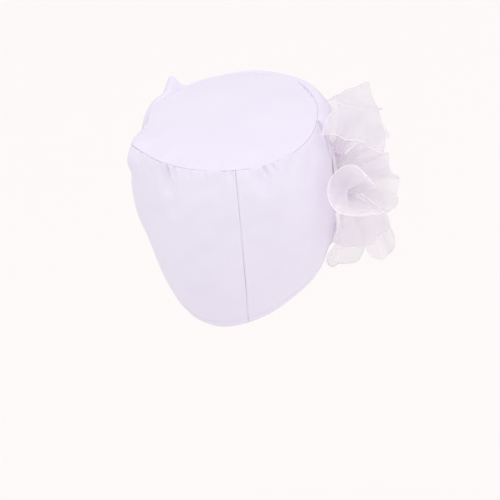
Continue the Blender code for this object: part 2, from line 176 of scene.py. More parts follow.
# How much cloth lies along the drape and between two of its rows, for the weave.
DRAPE_RUN, ROW_RUN = 0.36, 0.0012
# Where the inside stays level, its rows go down by this share of the wall.
INSIDE_STEP = 0.00001
# A pleat's cross-section: how far down the pleat and how far off the wall, as shares of each.
PLEAT = (
    (0.00, 0.00), (0.07, 0.09), (0.18, 0.40), (0.34, 0.74), (0.58, 0.98), (0.84, 1.00),
    (1.01, 0.86), (1.09, 0.62), (1.07, 0.40), (1.02, 0.18), (1.00, 0.00),
)
# Soft creases along the folds, which fade in between these heights of a pleat, and finer ripples.
FOLD_CREASE, FOLD_CREASE_HEIGHT = 0.00075, (0.2, 0.9)
FOLD_RIPPLE, FOLD_RIPPLE_LENGTH, FOLD_SEED = 0.0005, 0.03, 30
# How those creases waver along a fold: turns in radians, shift from fold to fold and height.
CREASE_WAVERS = ((9, 2.1, 0.5), (23, 1.3, 0.3))
# The creases' own waves down a fold: turns in radians, how far the wavers shift them, shift from fold
# to fold and height.
CREASE_WAVES = ((17, 3, 1, 0.5), (29, -4, 0, 0.25))

# The flower.
FLOWER_ANGLE, FLOWER_DOWN = 181, 0.50
BASE_RADIUS, BASE_SEAT, BASE_THICKNESS = 0.030, 0.0008, 0.0016
WALL_RADIUS, WALL_LENGTH = 0.100, 0.160
ROOT_GAP, ROOT_WIDTH = 0.0003, 0.009
ORGANZA = 0.0010
ORGANZA_SHEER, HEM_ROLL = 0.00035, 0.00060
UP, BACK, OUT = Vector((0, 0, 1)), Vector((0, 1, 0)), Vector((-1, 0, 0))
PETAL_HOOK, PETAL_WAVES, PETAL_OPENING = (0.40, 0.70), 2.5, 0.85
PEAK_RISE, PEAK_FALL = (0.15, 0.50), (0.55, 1.00)
# A flat petal counts as bent by this turn, in radians, so that no length is divided by 0.
FLAT_TURN = 0.001
# Columns in half a petal's mesh, and its rows.
PETAL_GRID = (26, 56)
# Each petal's waves are shifted from those of the one before by this, in radians.
PHASE_STEP = 1.7
# Pleats at a petal's root: how high, where they rise and fall away, and their coarse and fine turns
# across it in radians, with how far the coarse ones lean.
PLEAT_HEIGHT, PLEAT_RISE, PLEAT_FALL = 0.0006, (0.05, 0.20), (0.15, 0.75)
PLEAT_WAVES, PLEAT_LEAN = (math.pi * 4.2, 23), 1.2
# Waves at its rim, for each millimetre of the solid's.
RIM_WAVE, RIM_WAVES = 0.00045, (math.pi * 3.3, math.pi * 6.1)
# Crinkles all over it: how high, how long, and where they start.
CRINKLE, CRINKLE_LENGTH, CRINKLE_START, CRINKLE_SEED = 0.0007, 0.026, (0.10, 0.40), 60
CRINKLE_MIDDLE, CRINKLE_SHARPNESS = 0.6, 0.8
# Its hems are calmer by this share: where that sets in, towards its sides and its rim.
HEM_CALM, CALM_SIDES, CALM_RIM = 0.8, (0.60, 0.95), (0.55, 0.95)
# The hem shows from here on, as shares of the length.
HEM_SHOWS = (0.25, 0.60)
# Distances in millimetres and turns in degrees, as the solid petals have them.
PETAL_COLUMNS = (
    "name", "up", "back", "turn", "lift", "twist", "length", "width", "curl", "cup", "lip",
    "rounding", "wave",
)
PETAL_ROWS = (
    ("petal_top", 12, -14, 342, 25, 90, 97, 55, 110, -90, 0, 10, 0.6),
    ("petal_top_back", 25, 8, 21, 26, 82, 92, 73, 102, 40, -110, 11, 1.5),
    ("petal_horn", -9, 20, 74, 11, -20, 66, 114, 60, 300, 290, 4, 0.6),
    ("petal_low_back", -24, 2, 103, 20, 90, 83, 64, 100, -40, -50, 10, 2),
    ("petal_low_inside", -28, -6, 140, 5, 56, 90, 44, 70, 50, 70, 18, 2),
    ("petal_low_outside", -20, -15, 138, 25, 90, 99, 38, 40, 70, 100, 18, 2),
    ("petal_low_front", -12, -24, 202, 22, 42, 92, 80, 60, 60, 50, 26, 3),
    ("petal_front_low", -2, -27, 230, 22, 42, 90, 80, 60, 60, 50, 26, 3),
    ("petal_front", 6, -26, 257, 24, 42, 84, 76, 60, 60, 50, 26, 3),
    ("petal_front_top", 13, -21, 294, 24, 42, 67, 70, 60, 60, 50, 26, 3),
    ("inner_back", 1, 10, 94, 50, 0, 74, 64, 10, 90, 60, 22, 3),
    ("inner_low", -8, 0, 150, 60, 14, 54, 54, 10, 80, 60, 22, 3),
    ("inner_front_low", -6, -8, 222, 54, 14, 67, 62, 10, 80, 60, 22, 3),
    ("inner_front_top", 4, -9, 284, 54, 14, 67, 62, 10, 80, 60, 22, 3),
    ("inner_top", 8, 1, 10, 58, 14, 62, 58, 10, 80, 60, 22, 3),
    ("heart", 0, 0, 0, 86, 0, 52, 48, 10, 290, 250, 10, 2),
)
PLAIN_PETAL = {"peak": 0, "peak_at": 0, "corner": 0, "slant": 0}
PETAL_SHAPES = {
    "petal_top": {"peak": 24, "peak_at": -0.32, "slant": 0.25},
    "petal_top_back": {"peak": 18, "peak_at": -0.41, "slant": 0.02},
    "petal_horn": {"corner": 0.43},
}
PETALS = [
    {**PLAIN_PETAL, **dict(zip(PETAL_COLUMNS, row)), **PETAL_SHAPES.get(row[0], {})} for row in PETAL_ROWS
]
# How many layers of organza a petal seems to have, where it isn't one.
LAYERS = {
    "petal_top": 0.5, "petal_top_back": 0.68, "petal_low_back": 0.9, "petal_low_inside": 0.7,
    "petal_front_top": 0.5, "petal_front_low": 1.2, "inner_top": 0.6,
}


# Shapes shared with the solids, for arrays of places.


def bump(value, centre, spread):
    """A smooth hump of height 1 at centre, taking angles the short way round."""
    return np.exp(-((((value - centre + 180) % 360 - 180) / spread) ** 2))


def bumps(angle, rows):
    """Humps round the hat, each row being an angle, a spread and a height."""
    return sum(height * bump(angle, centre, spread) for centre, spread, height in rows)


def hump(distance, centre, width):
    """A smooth hump of height 1 at that distance."""
    return np.exp(-(((distance - centre) / width) ** 2))


def smooth(value, start=0.0, end=1.0):
    """0 before start and 1 after end, level at both."""
    share = np.clip((value - start) / (end - start), 0, 1)
    return share * share * (3 - 2 * share)


def mix(a, b, share):
    return a + (b - a) * share


def unit(vectors):
    return vectors / np.maximum(np.linalg.norm(vectors, axis=-1, keepdims=True), 1e-12)


def scaled(vectors, lengths):
    return vectors * np.asarray(lengths, float)[..., None]


def outward(angle):
    turn = np.radians(np.asarray(angle, float))
    return np.stack([np.cos(turn), np.sin(turn), np.zeros_like(turn)], -1)


def tip_radius(angle):
    turn = np.radians(angle)
    oval = 1 / np.hypot(np.cos(turn) / TIP_HALF_WIDTH, np.sin(turn) / TIP_HALF_LENGTH)
    oval = oval * (1 + TIP_SKEW * np.sin(2 * turn) + TIP_CORNERS * np.cos(3 * turn))
    return oval - bumps(angle, OUTLINE_DENTS)


def tip_point(angle, share):
    """Points of the tip's outside, from its middle at share 0 to the seam at share 1."""
    angle, share = np.broadcast_arrays(np.asarray(angle, float), np.asarray(share, float))
    plan = scaled(outward(angle), tip_radius(angle) * share)
    slope = plan[..., 0] * math.tan(math.radians(SIDE_SLOPE))
    slope = slope + plan[..., 1] * math.tan(math.radians(BACK_SLOPE))
    plan[..., 2] = SEAM_LEVEL - slope + TIP_PUFF * (1 - share**TIP_ROUND)
    return plan


def rim_point(angle):
    turn = np.radians(angle)
    slack = 1 + RIM_CORNERS * np.cos(3 * turn)
    y = RIM_MIDDLE + RIM_HALF_LENGTH * np.sin(turn) * slack
    x = RIM_HALF_WIDTH * np.cos(turn) * slack
    return np.stack([x, y, RIM_LEVEL - y * math.tan(math.radians(RIM_SLOPE))], -1)


def wall_point(angle, down):
    """Points of the smooth wall's outside."""
    angle, down = np.broadcast_arrays(np.asarray(angle, float), np.asarray(down, float))
    seam, rim, out = tip_point(angle, 1.0), rim_point(angle), outward(angle)
    swell = mix(SWELL_AT_SIDES, SWELL_AT_NAPE, smooth(out[..., 1]))
    above = seam + out * SWELL_AT_SEAM - np.array((0, 0, SWELL_DROP))
    below = rim + scaled(out, swell) + np.array((0, 0, RIM_RISE))
    rest = 1 - down
    weights = (rest**3, 3 * rest**2 * down, 3 * rest * down**2, down**3)
    curve = sum(scaled(point, weight) for point, weight in zip((seam, above, below, rim), weights))
    drawn_in = bumps(angle, PUCKERS) * np.sin(np.pi * np.minimum(1, down / PUCKER_LENGTH))
    return curve - scaled(out, drawn_in)


def normal_of(point_at, angle, along, step=0.001):
    """Outward normals of the tip or the wall."""
    turn = step * 100
    across = point_at(angle + turn, along) - point_at(angle - turn, along)
    near, far = np.maximum(along - step, 0), along + step
    return unit(np.cross(point_at(angle, far) - point_at(angle, near), across))


def seam_normal(angle):
    zero = np.zeros_like(angle)
    return unit(normal_of(tip_point, angle, zero + 1) + normal_of(wall_point, angle, zero))


def leaning(square, angle, share):
    """Directions that turn from a surface's own to the tip seam's as share goes from 0 to 1."""
    return unit(square + scaled(seam_normal(angle) - square, share))


def seam_depth(angle):
    """How far the cloth's inside lies from its outside along the seam's direction."""
    across = (seam_normal(angle) * normal_of(wall_point, angle, np.zeros_like(angle))).sum(-1)
    return CLOTH / across


# Unevenness of the cloth.


def ripple(points, length, seed, waves=9):
    """A soft random unevenness about 0, of waves near the given length."""
    draw = np.random.default_rng(seed)
    total = np.zeros(points.shape[:-1])
    for _ in range(waves):
        way = unit(draw.normal(size=3))
        pitch = length * draw.uniform(0.7, 1.5)
        total += np.sin(points @ way * math.tau / pitch + draw.uniform(0, math.tau))
    return total / math.sqrt(waves)


def gathers(angle, low=26, high=74, waves=9):
    """Small uneven gathers round the tip seam, about 0, which join up all the way round."""
    draw = np.random.default_rng(GATHER_SEED)
    total = np.zeros_like(angle)
    for _ in range(waves):
        total += np.sin(np.radians(angle) * int(draw.integers(low, high)) + draw.uniform(0, math.tau))
    return total / math.sqrt(waves)


def rolled(away, reach):
    """1 at an edge, falling off to 0 at that reach from it, as cloth rolls down to a seam."""
    return np.clip(1 - away / reach, 0, 1) ** 2


# Meshes.


def grid_faces(rows, columns, ring, capped):
    """Faces of a closed sheet: its outer grid's points, then its inner grid's, then any two poles."""
    under = rows * columns
    end = (rows - 1) * columns
    faces = []
    for c in range(columns if ring else columns - 1):
        d = (c + 1) % columns
        for r in range(rows - 1):
            a, b, e, f = r * columns + c, (r + 1) * columns + c, (r + 1) * columns + d, r * columns + d
            faces.append((a, b, e, f))
            faces.append((a + under, f + under, e + under, b + under))
        faces.append((c, d, d + under, c + under))
        if capped:
            faces.append((end + d, end + c, 2 * under))
            faces.append((end + c + under, end + d + under, 2 * under + 1))
        else:
            faces.append((end + c, end + c + under, end + d + under, end + d))
    if not ring:
        for r in range(rows - 1):
            for c, flip in ((0, False), (columns - 1, True)):
                a, b = r * columns + c, (r + 1) * columns + c
                side = (a, a + under, b + under, b)
                faces.append(side[::-1] if flip else side)
    return faces


def closed_sheet(name, outer, inner, cloth, ring=False, pole=None):
    """One closed sheet between two matching grids of points. cloth is the pattern's place on it."""
    points = np.concatenate([outer.reshape(-1, 3), inner.reshape(-1, 3)])
    flat = np.concatenate([cloth.reshape(-1, 2)] * 2)
    if pole is not None:
        points = np.concatenate([points, pole[0]])
        flat = np.concatenate([flat, pole[1]])
    data = bpy.data.meshes.new(name)
    data.from_pydata(points.tolist(), [], grid_faces(*outer.shape[:2], ring, pole is not None))
    corner = np.zeros(len(data.loops), np.int64)
    data.loops.foreach_get("vertex_index", corner)
    layer = data.uv_layers.new(name="cloth")
    layer.data.foreach_set("uv", flat[corner].astype(np.float32).ravel())
    tidy = bmesh.new()
    tidy.from_mesh(data)
    bmesh.ops.recalc_face_normals(tidy, faces=tidy.faces)
    tidy.to_mesh(data)
    tidy.free()
    data.shade_smooth()
    data.set_sharp_from_angle(angle=math.radians(SHARP_FROM))
    piece = bpy.data.objects.new(name, data)
    bpy.context.scene.collection.objects.link(piece)
    return piece


def dress(piece, node, finish):
    """The piece rides on the hat, stands for its solid and takes its finish."""
    piece.data.materials.append(finish)
    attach(piece, "root")
    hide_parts(node)
    return piece


def mark(sheet, name, values):
    """A value at each point of the sheet, the same on both its sides, for its finish to read."""
    attribute = sheet.data.attributes.new(name, "FLOAT", "POINT")
    attribute.data.foreach_set("value", np.tile(values.ravel(), 2).astype(np.float32))


def spaced(start, end, count, crowd_start=0.0, crowd_end=0.0):
    """Values from start to end, closer together near the ends that are crowded."""
    t = np.linspace(0, 1, count)
    swell = np.sin(math.pi * t) / math.pi
    t = t - crowd_start * swell * (1 - t) + crowd_end * swell * t
    return mix(start, end, t)


# The crown tip.


def tip_relief(angle, share, points):
    """How far the tip's cloth stands off its smooth form."""
    inwards = (1 - share) * tip_radius(angle)
    deep = DEEP_SEAM * bump(angle, DEEP_SEAM_AT, DEEP_SEAM_SPREAD)
    roll = SEAM_SINK * rolled(inwards, SEAM_ROLL) + deep * rolled(inwards, 2 * SEAM_ROLL)
    pulls = [(centre, spread * TIP_PULL_SPREAD, depth * TIP_PULL) for centre, spread, depth in PUCKERS]
    pulls = bumps(angle, pulls) * hump(inwards, 0, TIP_PULL_REACH)
    gathered = TIP_GATHER * gathers(angle) * np.exp(-inwards / TIP_GATHER_REACH)
    return gathered + TIP_RIPPLE * ripple(points, TIP_RIPPLE_LENGTH, TIP_SEED) - roll - pulls


def make_tip(finish):
    angle = np.linspace(0, 360, TIP_COLUMNS, endpoint=False)[None, :]
    share = spaced(1 - HALF_SEAM / TIP_HALF_WIDTH, TIP_POLE, TIP_ROWS, crowd_start=CROWD)[:, None]
    angle, share = np.broadcast_arrays(angle, share)
    base = tip_point(angle, share)
    edge = smooth(share, TIP_TURN, 1.0)
    lean = leaning(normal_of(tip_point, angle, share), angle, edge)
    outer = base + scaled(lean, tip_relief(angle, share, base))
    inner = base - scaled(lean, mix(CLOTH, seam_depth(angle), edge))
    middle = np.array([[0, 0, outer[-1, :, 2].mean()], [0, 0, inner[-1, :, 2].mean()]])
    tip = closed_sheet(
        "crown_tip_cloth", outer, inner, base[..., :2], ring=True, pole=(middle, np.zeros((2, 2)))
    )
    dress(tip, "crown_tip", finish)


# The wall.


def seam_angles(seams, down):
    return mix(seams[0], seams[1], down)


def half_gap_angle(gap):
    """Half a seam's gap as an angle."""
    return math.degrees(gap / 2 / RIM_HALF_WIDTH)


def wall_grid(start, end, columns, rows, gap=SEAM_GAP):
    """Angles and places down the wall, crowded towards both seams, the tip and the rim."""
    top = spaced(0, 0.5, rows // 2, crowd_start=CROWD)[:-1]
    down = np.concatenate([top, spaced(0.5, 1, rows // 2, crowd_end=CROWD)])[:, None]
    left = spaced(0, 0.5, columns // 2, crowd_start=CROWD)[:-1]
    share = np.concatenate([left, 1 - left[::-1]])[None, :]
    low = seam_angles(start, down) + half_gap_angle(gap)
    high = seam_angles(end, down) - half_gap_angle(gap)
    return mix(low, high, share), np.broadcast_to(down, (len(down), share.shape[1]))


def crease_relief(angle, down):
    """Short sharp creases that fan down from the tip seam, each with a fold beside it."""
    total = np.zeros_like(angle)
    for at, lean, width, depth, length in CREASES:
        across = (angle - at - lean * down) / width
        fade = smooth(down, 0, CREASE_START) * (1 - smooth(down, length * CREASE_FADE, length))
        total += depth * fade * (CREASE_FOLD * hump(across, CREASE_FOLD_AT, 1) - hump(across, 0, 1))
    return total


def tip_seam_relief(points, angle):
    """The roll and gathers of the wall at the tip seam."""
    away = np.linalg.norm(points - tip_point(angle, 1.0), axis=-1)
    drawn = 0.5 + 0.5 * sum(bump(angle, centre, GATHER_SPREAD) for centre, _, _ in PUCKERS)
    drawn = drawn * np.exp(-away / WALL_GATHER_REACH) * smooth(away, 0, WALL_GATHER_START)
    return WALL_GATHER * drawn * gathers(angle) - SEAM_SINK * rolled(away, SEAM_ROLL)


def hem_relief(points, angle):
    """The turned-up hem: a flat band that ends at a stitched line, rounded at its edge."""
    away = np.linalg.norm(points - rim_point(angle), axis=-1)
    band = HEM_LIFT * (1 - smooth(away, *HEM_STEP))
    groove = HEM_GROOVE * hump(away, HEM_GROOVE_AT, HEM_GROOVE_WIDE)
    return band - groove - HEM_EDGE * rolled(away, HEM_EDGE)


def panel_relief(points, angle, down, seams, ridged_seam):
    """How far a back panel's cloth stands off the smooth wall."""
    relief = tip_seam_relief(points, angle) + hem_relief(points, angle) + crease_relief(angle, down)
    long = LONG_RIPPLE * ripple(points, LONG_RIPPLE_LENGTH, LONG_SEED) * smooth(down, 0, LONG_RIPPLE_START)
    relief = relief + long + SHORT_RIPPLE * ripple(points, SHORT_RIPPLE_LENGTH, SHORT_SEED)
    for seam in seams:
        beside = np.linalg.norm(points - wall_point(seam_angles(seam, down), down), axis=-1)
        relief = relief - BACK_SINK * rolled(beside, BACK_ROLL)
        if seam == ridged_seam:
            relief = relief + BACK_RIDGE * hump(beside, BACK_RIDGE_AT, BACK_RIDGE_WIDE)
    return relief


def make_panel(name, node, start, end, finish, ridged_seam=None):
    """A smooth back panel. A ridged seam's allowance lies under this panel and shows through it."""
    angle, down = wall_grid(start, end, *PANEL_GRID)
    shut_angle, _ = wall_grid(start, end, *PANEL_GRID, gap=SEAM_SHUT)
    base = wall_point(angle, down)
    edge = 1 - smooth(down, 0, WALL_TURN)
    lean = leaning(normal_of(wall_point, angle, down), angle, edge)
    outer = base + scaled(lean, panel_relief(base, angle, down, (start, end), ridged_seam))
    inner = wall_point(shut_angle, down) - scaled(lean, mix(CLOTH, seam_depth(angle), edge))
    for side in (outer, inner):
        side[0] -= np.array((0, 0, HALF_SEAM))
    cloth = np.stack([np.radians(angle) * WALL_RADIUS, -down * WALL_LENGTH], -1)
    panel = closed_sheet(name, outer, inner, cloth)
    dress(panel, node, finish)


# The drape.


def fold_edge(fold, share):
    """How far down the wall a fold starts: the folds draw together at the flower."""
    if fold in (0, FOLDS):
        return np.full_like(share, fold / FOLDS)
    knot = KNOT_PLACE + KNOT_SPREAD * (fold / FOLDS - 0.5)
    return mix(knot, fold / FOLDS, smooth(share, *KNOT_REACH))


def clear_of_base(angle, down):
    """0 where the flower's base lies on the wall and 1 well clear of it."""
    back = np.radians(FLOWER_ANGLE - angle) * WALL_RADIUS
    up = (FLOWER_DOWN - down) * WALL_LENGTH
    return smooth(np.hypot(up, back) - BASE_RADIUS, *KNOT_FLAT)


def pleat_curve(count):
    """The pleat's cross-section as a smooth curve through its points."""
    knots = np.array(PLEAT)
    ends = np.concatenate([knots[:1] * 2 - knots[1:2], knots, knots[-1:] * 2 - knots[-2:-1]])
    at = np.linspace(0, len(knots) - 1, count, endpoint=False)
    i = at.astype(int)
    t = (at - i)[:, None]
    a, b, c, d = (ends[i + k] for k in range(4))
    return 0.5 * (2 * b + (c - a) * t + (2 * a - 5 * b + 4 * c - d) * t**2 + (3 * b - a - 3 * c + d) * t**3)


def drape_rows():
    """Each row of the drape: its fold, its place down that and its height off the wall."""
    rows = []
    for fold in range(FOLDS):
        for place, height in pleat_curve(PLEAT_ROWS):
            if fold == 0 and place < TOP_FULL:
                height = max(height, (1 - (1 - place / TOP_FULL) ** 2) ** TOP_ROUND)
            rows.append((fold, place, height))
    rows.append((FOLDS - 1, 1.0, LAST_HEIGHT))
    for number, (fold, place, height) in enumerate(rows):
        if fold == FOLDS - 1 and place >= LAST_FROM:
            near_rim = min(1, (place - LAST_FROM) / LAST_REACH)
            rows[number] = (fold, mix(LAST_FROM, 1.0, near_rim), max(height, LAST_HEIGHT))
    return rows


def fold_creases(fold, share, place):
    """Soft creases along a fold, about 0."""
    waver = sum(high * np.sin(share * turns + fold * shift) for turns, shift, high in CREASE_WAVERS)
    return sum(
        high * np.sin(place * turns + waver * follow + fold * shift)
        for turns, follow, shift, high in CREASE_WAVES
    )


def drape_angles(down, share):
    """Angles from the drape's right seam to its left one, at those places down the wall."""
    half_gap = half_gap_angle(SEAM_GAP)
    return mix(seam_angles(RIGHT_SEAM, down) + half_gap, seam_angles(LEFT_SEAM, down) - half_gap, share)


def drape_outside(fold, place, height, down, share):
    """One row of the drape's folded outside."""
    angle = drape_angles(down, share)
    clear = clear_of_base(angle, down)
    flat = clear * smooth(share, *RIGHT_RISE) * mix(1, LEFT_KEPT, smooth(share, *LEFT_FALL))
    rise = bumps(angle, TOP_FOLD_RISES) if fold == 0 else 0
    drawn_up = height * bumps(angle, [FOLD_END]) if fold == 0 else np.zeros_like(share)
    creases = FOLD_CREASE * fold_creases(fold, share, place) * height * smooth(height, *FOLD_CREASE_HEIGHT)
    surface = wall_point(angle, down)
    square = normal_of(wall_point, angle, down)
    lean = leaning(square, angle, 1 - smooth(down, 0, SEAM_LEAN))
    ripples = FOLD_RIPPLE * ripple(surface, FOLD_RIPPLE_LENGTH, FOLD_SEED + fold)
    folded = surface + scaled(lean, height * flat * (FOLD_SWELL + rise) + creases * clear)
    return folded + scaled(square, ripples) + drawn_up[:, None] * np.array(UP)


def drape_inside(down, share):
    """One row of its flat inside."""
    angle = drape_angles(down, share)
    edge = 1 - smooth(down, 0, WALL_TURN)
    lean = leaning(normal_of(wall_point, angle, down), angle, edge)
    return wall_point(angle, down) - scaled(lean, mix(CLOTH, seam_depth(angle), edge))


def make_drape(finish):
    """The pleated front, from the right seam across the brow to the left seam."""
    share = np.linspace(0, 1, DRAPE_COLUMNS)
    run, reached = share * DRAPE_RUN, np.zeros_like(share)
    outside, inside, cloth = [], [], []
    for number, (fold, place, height) in enumerate(drape_rows()):
        down = mix(fold_edge(fold, share), fold_edge(fold + 1, share), place)
        outside.append(drape_outside(fold, place, height, down, share))
        # The inside lies flat, so it never turns back up with a fold.
        reached = np.maximum(reached + INSIDE_STEP, down)
        inside.append(drape_inside(reached, share))
        cloth.append(np.stack([run, np.full_like(run, -number * ROW_RUN)], -1))
    drape = closed_sheet("front_drape_cloth", np.array(outside), np.array(inside), np.array(cloth))
    dress(drape, "front_drape", finish)


# The flower.


def flower_seat(up, back):
    """A point of the wall and its normal, by its distance up and back from the flower's middle."""
    angle = FLOWER_ANGLE - math.degrees(back / WALL_RADIUS)
    down = FLOWER_DOWN - up / WALL_LENGTH
    return Vector(wall_point(angle, down)), Vector(normal_of(wall_point, angle, down))


def petal_spine(petal, steps=120):
    """The petal's middle line: points, directions and faces from root to rim, as arrays."""
    turn, lift = math.radians(petal["turn"]), math.radians(petal["lift"])
    radial = UP * math.cos(turn) + BACK * math.sin(turn)
    along = radial * math.cos(lift) + OUT * math.sin(lift)
    face = OUT * math.cos(lift) - radial * math.sin(lift)
    face = Matrix.Rotation(math.radians(petal["twist"]), 3, along) @ face
    place, normal = flower_seat(petal["up"] / 1000, petal["back"] / 1000)
    start = [np.array([vector] * 2) for vector in (place, along, face)]
    root, _ = petal_surface(petal, start, np.linspace(-1, 1, 5), np.zeros(5))
    lowest = ((root - np.array(place)) @ np.array(normal)).min()
    edge = ORGANZA / 2 * (abs(face.dot(normal)) + abs(along.cross(face).dot(normal)))
    place += normal * float(BASE_SEAT + BASE_THICKNESS + ROOT_GAP - lowest + edge)
    spine = []
    for step in range(steps + 1):
        bend = math.radians(petal["curl"]) * float(smooth(step / steps, *PETAL_HOOK))
        direction = along * math.cos(bend) - face * math.sin(bend)
        spine.append((place.copy(), direction, face * math.cos(bend) + along * math.sin(bend)))
        place += direction * petal["length"] / 1000 / steps
    return [np.array([row[k] for row in spine]) for k in range(3)]


def petal_surface(petal, spine, across, along):
    """Points of the petal's middle surface: across is -1 to 1 and along is 0 to 1."""
    trim = petal["rounding"] / petal["length"] * across**2 - petal["slant"] * across
    reach = along * (1 - trim * along)
    step = reach * (len(spine[0]) - 1)
    near = np.minimum(step.astype(int), len(spine[0]) - 2)
    place, direction, face = (part[near] + scaled(part[near + 1] - part[near], step - near) for part in spine)
    side = unit(np.cross(direction, face))
    top = petal["peak_at"]
    tent = 1 - np.abs(across - top) / np.where(across > top, 1 - top, 1 + top)
    push = smooth(along, *PEAK_RISE) - smooth(along, *PEAK_FALL)
    place = place + scaled(spine[1][0], tent * petal["peak"] / 1000 * push)
    width = mix(ROOT_WIDTH, petal["width"] / 1000, smooth(along**PETAL_OPENING))
    cup = np.radians(mix(petal["cup"], petal["lip"], along))
    turn = across * cup / 2
    turn = np.where(np.abs(turn) < FLAT_TURN, FLAT_TURN, turn)
    half = width / 2 * across * (1 - petal["corner"] * np.minimum(across, 0) ** 3)
    phase = PETAL_WAVES * math.pi * across + petal["turn"]
    ruffle = petal["wave"] / 1000 * along**2 * np.sin(phase)
    curve = scaled(side, np.sin(turn)) + scaled(face, 1 - np.cos(turn))
    return place + scaled(curve, half / turn) + scaled(face, ruffle), width


def grid_normals(points):
    down = np.gradient(points, axis=0)
    across = np.gradient(points, axis=1)
    return unit(np.cross(across, down))


def cross_waves(across, turns, phase, lean=0):
    """Coarse waves across a petal, with fine ones half as high."""
    coarse, fine = turns
    return np.sin(across * coarse + phase + lean) + 0.5 * np.sin(across * fine - phase)


def petal_relief(number, petal, points, across, along):
    """How far a petal stands off its smooth form: pleats at the root, waves at the rim, crinkles."""
    phase = number * PHASE_STEP
    calm = 1 - HEM_CALM * smooth(np.abs(across), *CALM_SIDES)
    pleats = PLEAT_HEIGHT * cross_waves(across, PLEAT_WAVES, phase, PLEAT_LEAN * along)
    pleats = pleats * smooth(along, *PLEAT_RISE) * (1 - smooth(along, *PLEAT_FALL))
    waves = RIM_WAVE * petal["wave"] * cross_waves(across, RIM_WAVES, phase) * along**3
    crinkle = np.abs(ripple(points, CRINKLE_LENGTH, CRINKLE_SEED + number)) ** CRINKLE_SHARPNESS
    crinkle = CRINKLE * (CRINKLE_MIDDLE - crinkle) * smooth(along, *CRINKLE_START)
    crinkle = crinkle * (1 - HEM_CALM * smooth(along, *CALM_RIM))
    return (pleats + waves + crinkle) * calm


def make_petal(number, petal, finish):
    """One organza petal: gathered at its root, rippled at its rim and edged with a rolled hem."""
    length = petal["length"] / 1000
    half = spaced(0, 1, PETAL_GRID[0], crowd_end=PETAL_CROWD)
    across = np.concatenate([-half[:0:-1], half])[None, :]
    along = spaced(0, 1, PETAL_GRID[1], crowd_end=PETAL_CROWD)[:, None]
    across, along = np.broadcast_arrays(across, along)
    middle, width = petal_surface(petal, petal_spine(petal), across, along)
    middle = middle + scaled(grid_normals(middle), petal_relief(number, petal, middle, across, along))
    square = grid_normals(middle)
    edge = np.minimum((1 - np.abs(across)) * width / 2, (1 - along) * length)
    in_hem = edge < 2 * HEM_ROLL
    roll = 2 * np.sqrt(np.clip(HEM_ROLL**2 - (edge - HEM_ROLL) ** 2, 0, None))
    thickness = np.maximum(np.where(in_hem, roll, 0), ORGANZA_SHEER)
    outer = middle + scaled(square, thickness / 2)
    inner = middle - scaled(square, thickness / 2)
    cloth = np.stack([across * width / 2, along * length], -1)
    sheet = closed_sheet(petal["name"] + "_organza", outer, inner, cloth)
    mark(sheet, "hem", in_hem * smooth(along, *HEM_SHOWS))
    # Each point's place from root to rim. The finish turns this into denser cover near the root, and into
    # painted shade there too.
    mark(sheet, "depth", along)
    mark(sheet, "layers", np.full(along.shape, LAYERS.get(petal["name"], 1.0)))
    dress(sheet, petal["name"], finish)
    petal["width"] / 1000
    petal["length"] / 1000
    petal["width"] * petal["length"] * 0.6e-6


# Finishes.


class Shade:
    """A shader value that takes part in arithmetic: each operator adds a Math node."""

    def __init__(self, finish, socket):
        self.finish, self.socket = finish, socket

    def maths(self, operation, *values):
        return self.finish.node("ShaderNodeMath", {"operation": operation}, dict(enumerate(values)))

    def sine(self):
        return self.maths("SINE", self)

    def __add__(self, other):
        return self.maths("ADD", self, other)

    def __sub__(self, other):
        return self.maths("SUBTRACT", self, other)

    def __rsub__(self, other):
        return self.maths("SUBTRACT", other, self)

    def __mul__(self, other):
        return self.maths("MULTIPLY", self, other)

    def __pow__(self, other):
        return self.maths("POWER", self, other)

    __radd__ = __add__
    __rmul__ = __mul__


class Finish:
    """A material in the making."""

    def __init__(self, name):
        self.material = bpy.data.materials.new(name)
        self.material.use_nodes = True
        self.tree = self.material.node_tree
        self.shader = self.tree.nodes["Principled BSDF"]
        self.output = self.tree.nodes["Material Output"]

    def node(self, kind, settings=None, sockets=None, out=0):
        """A node of that kind, with its settings made first, and one of its outputs."""
        made = self.tree.nodes.new(kind)
        for name, value in (settings or {}).items():
            setattr(made, name, value)
        self.fill(made, sockets or {})
        return Shade(self, made.outputs[out])

    def fill(self, made, sockets):
        for name, value in sockets.items():
            if isinstance(value, Shade):
                self.tree.links.new(value.socket, made.inputs[name])
            else:
                made.inputs[name].default_value = value

    def surface(self, **sockets):
        """Settings of the main shader, with underscores for the spaces in their names."""
        self.fill(self.shader, {name.replace("_", " "): value for name, value in sockets.items()})

    def colours(self, share, first, second):
        """A mix of two colours, of which the first may be worked out already."""
        first = first if isinstance(first, Shade) else (*first, 1)
        return self.node(
            "ShaderNodeMix", {"data_type": "RGBA"}, {0: share, 6: first, 7: (*second, 1)}, out=2
        )

    def attribute(self, name):
        return self.node("ShaderNodeAttribute", {"attribute_name": name}, out=2)

    def place(self):
        """Places on the object, in metres."""
        return self.node("ShaderNodeTexCoord", out=3)

    def noise(self, scale):
        return self.node("ShaderNodeTexNoise", {}, {"Vector": self.place(), "Scale": scale, "Detail": 3.0})

    def weave(self, pitch):
        """A plain weave's height, from two crossing sets of threads along the cloth's own map."""
        cloth = self.node("ShaderNodeTexCoord", out=2)
        across, down = (self.node("ShaderNodeSeparateXYZ", {}, {0: cloth}, out=axis) for axis in (0, 1))
        turns = math.pi / pitch
        return (across * turns).sine() * (down * turns).sine()

    def raised(self, height, strength, distance):
        """Normals of a surface with that fine height."""
        return self.node(
            "ShaderNodeBump", {}, {"Strength": strength, "Distance": distance, "Height": height}
        )


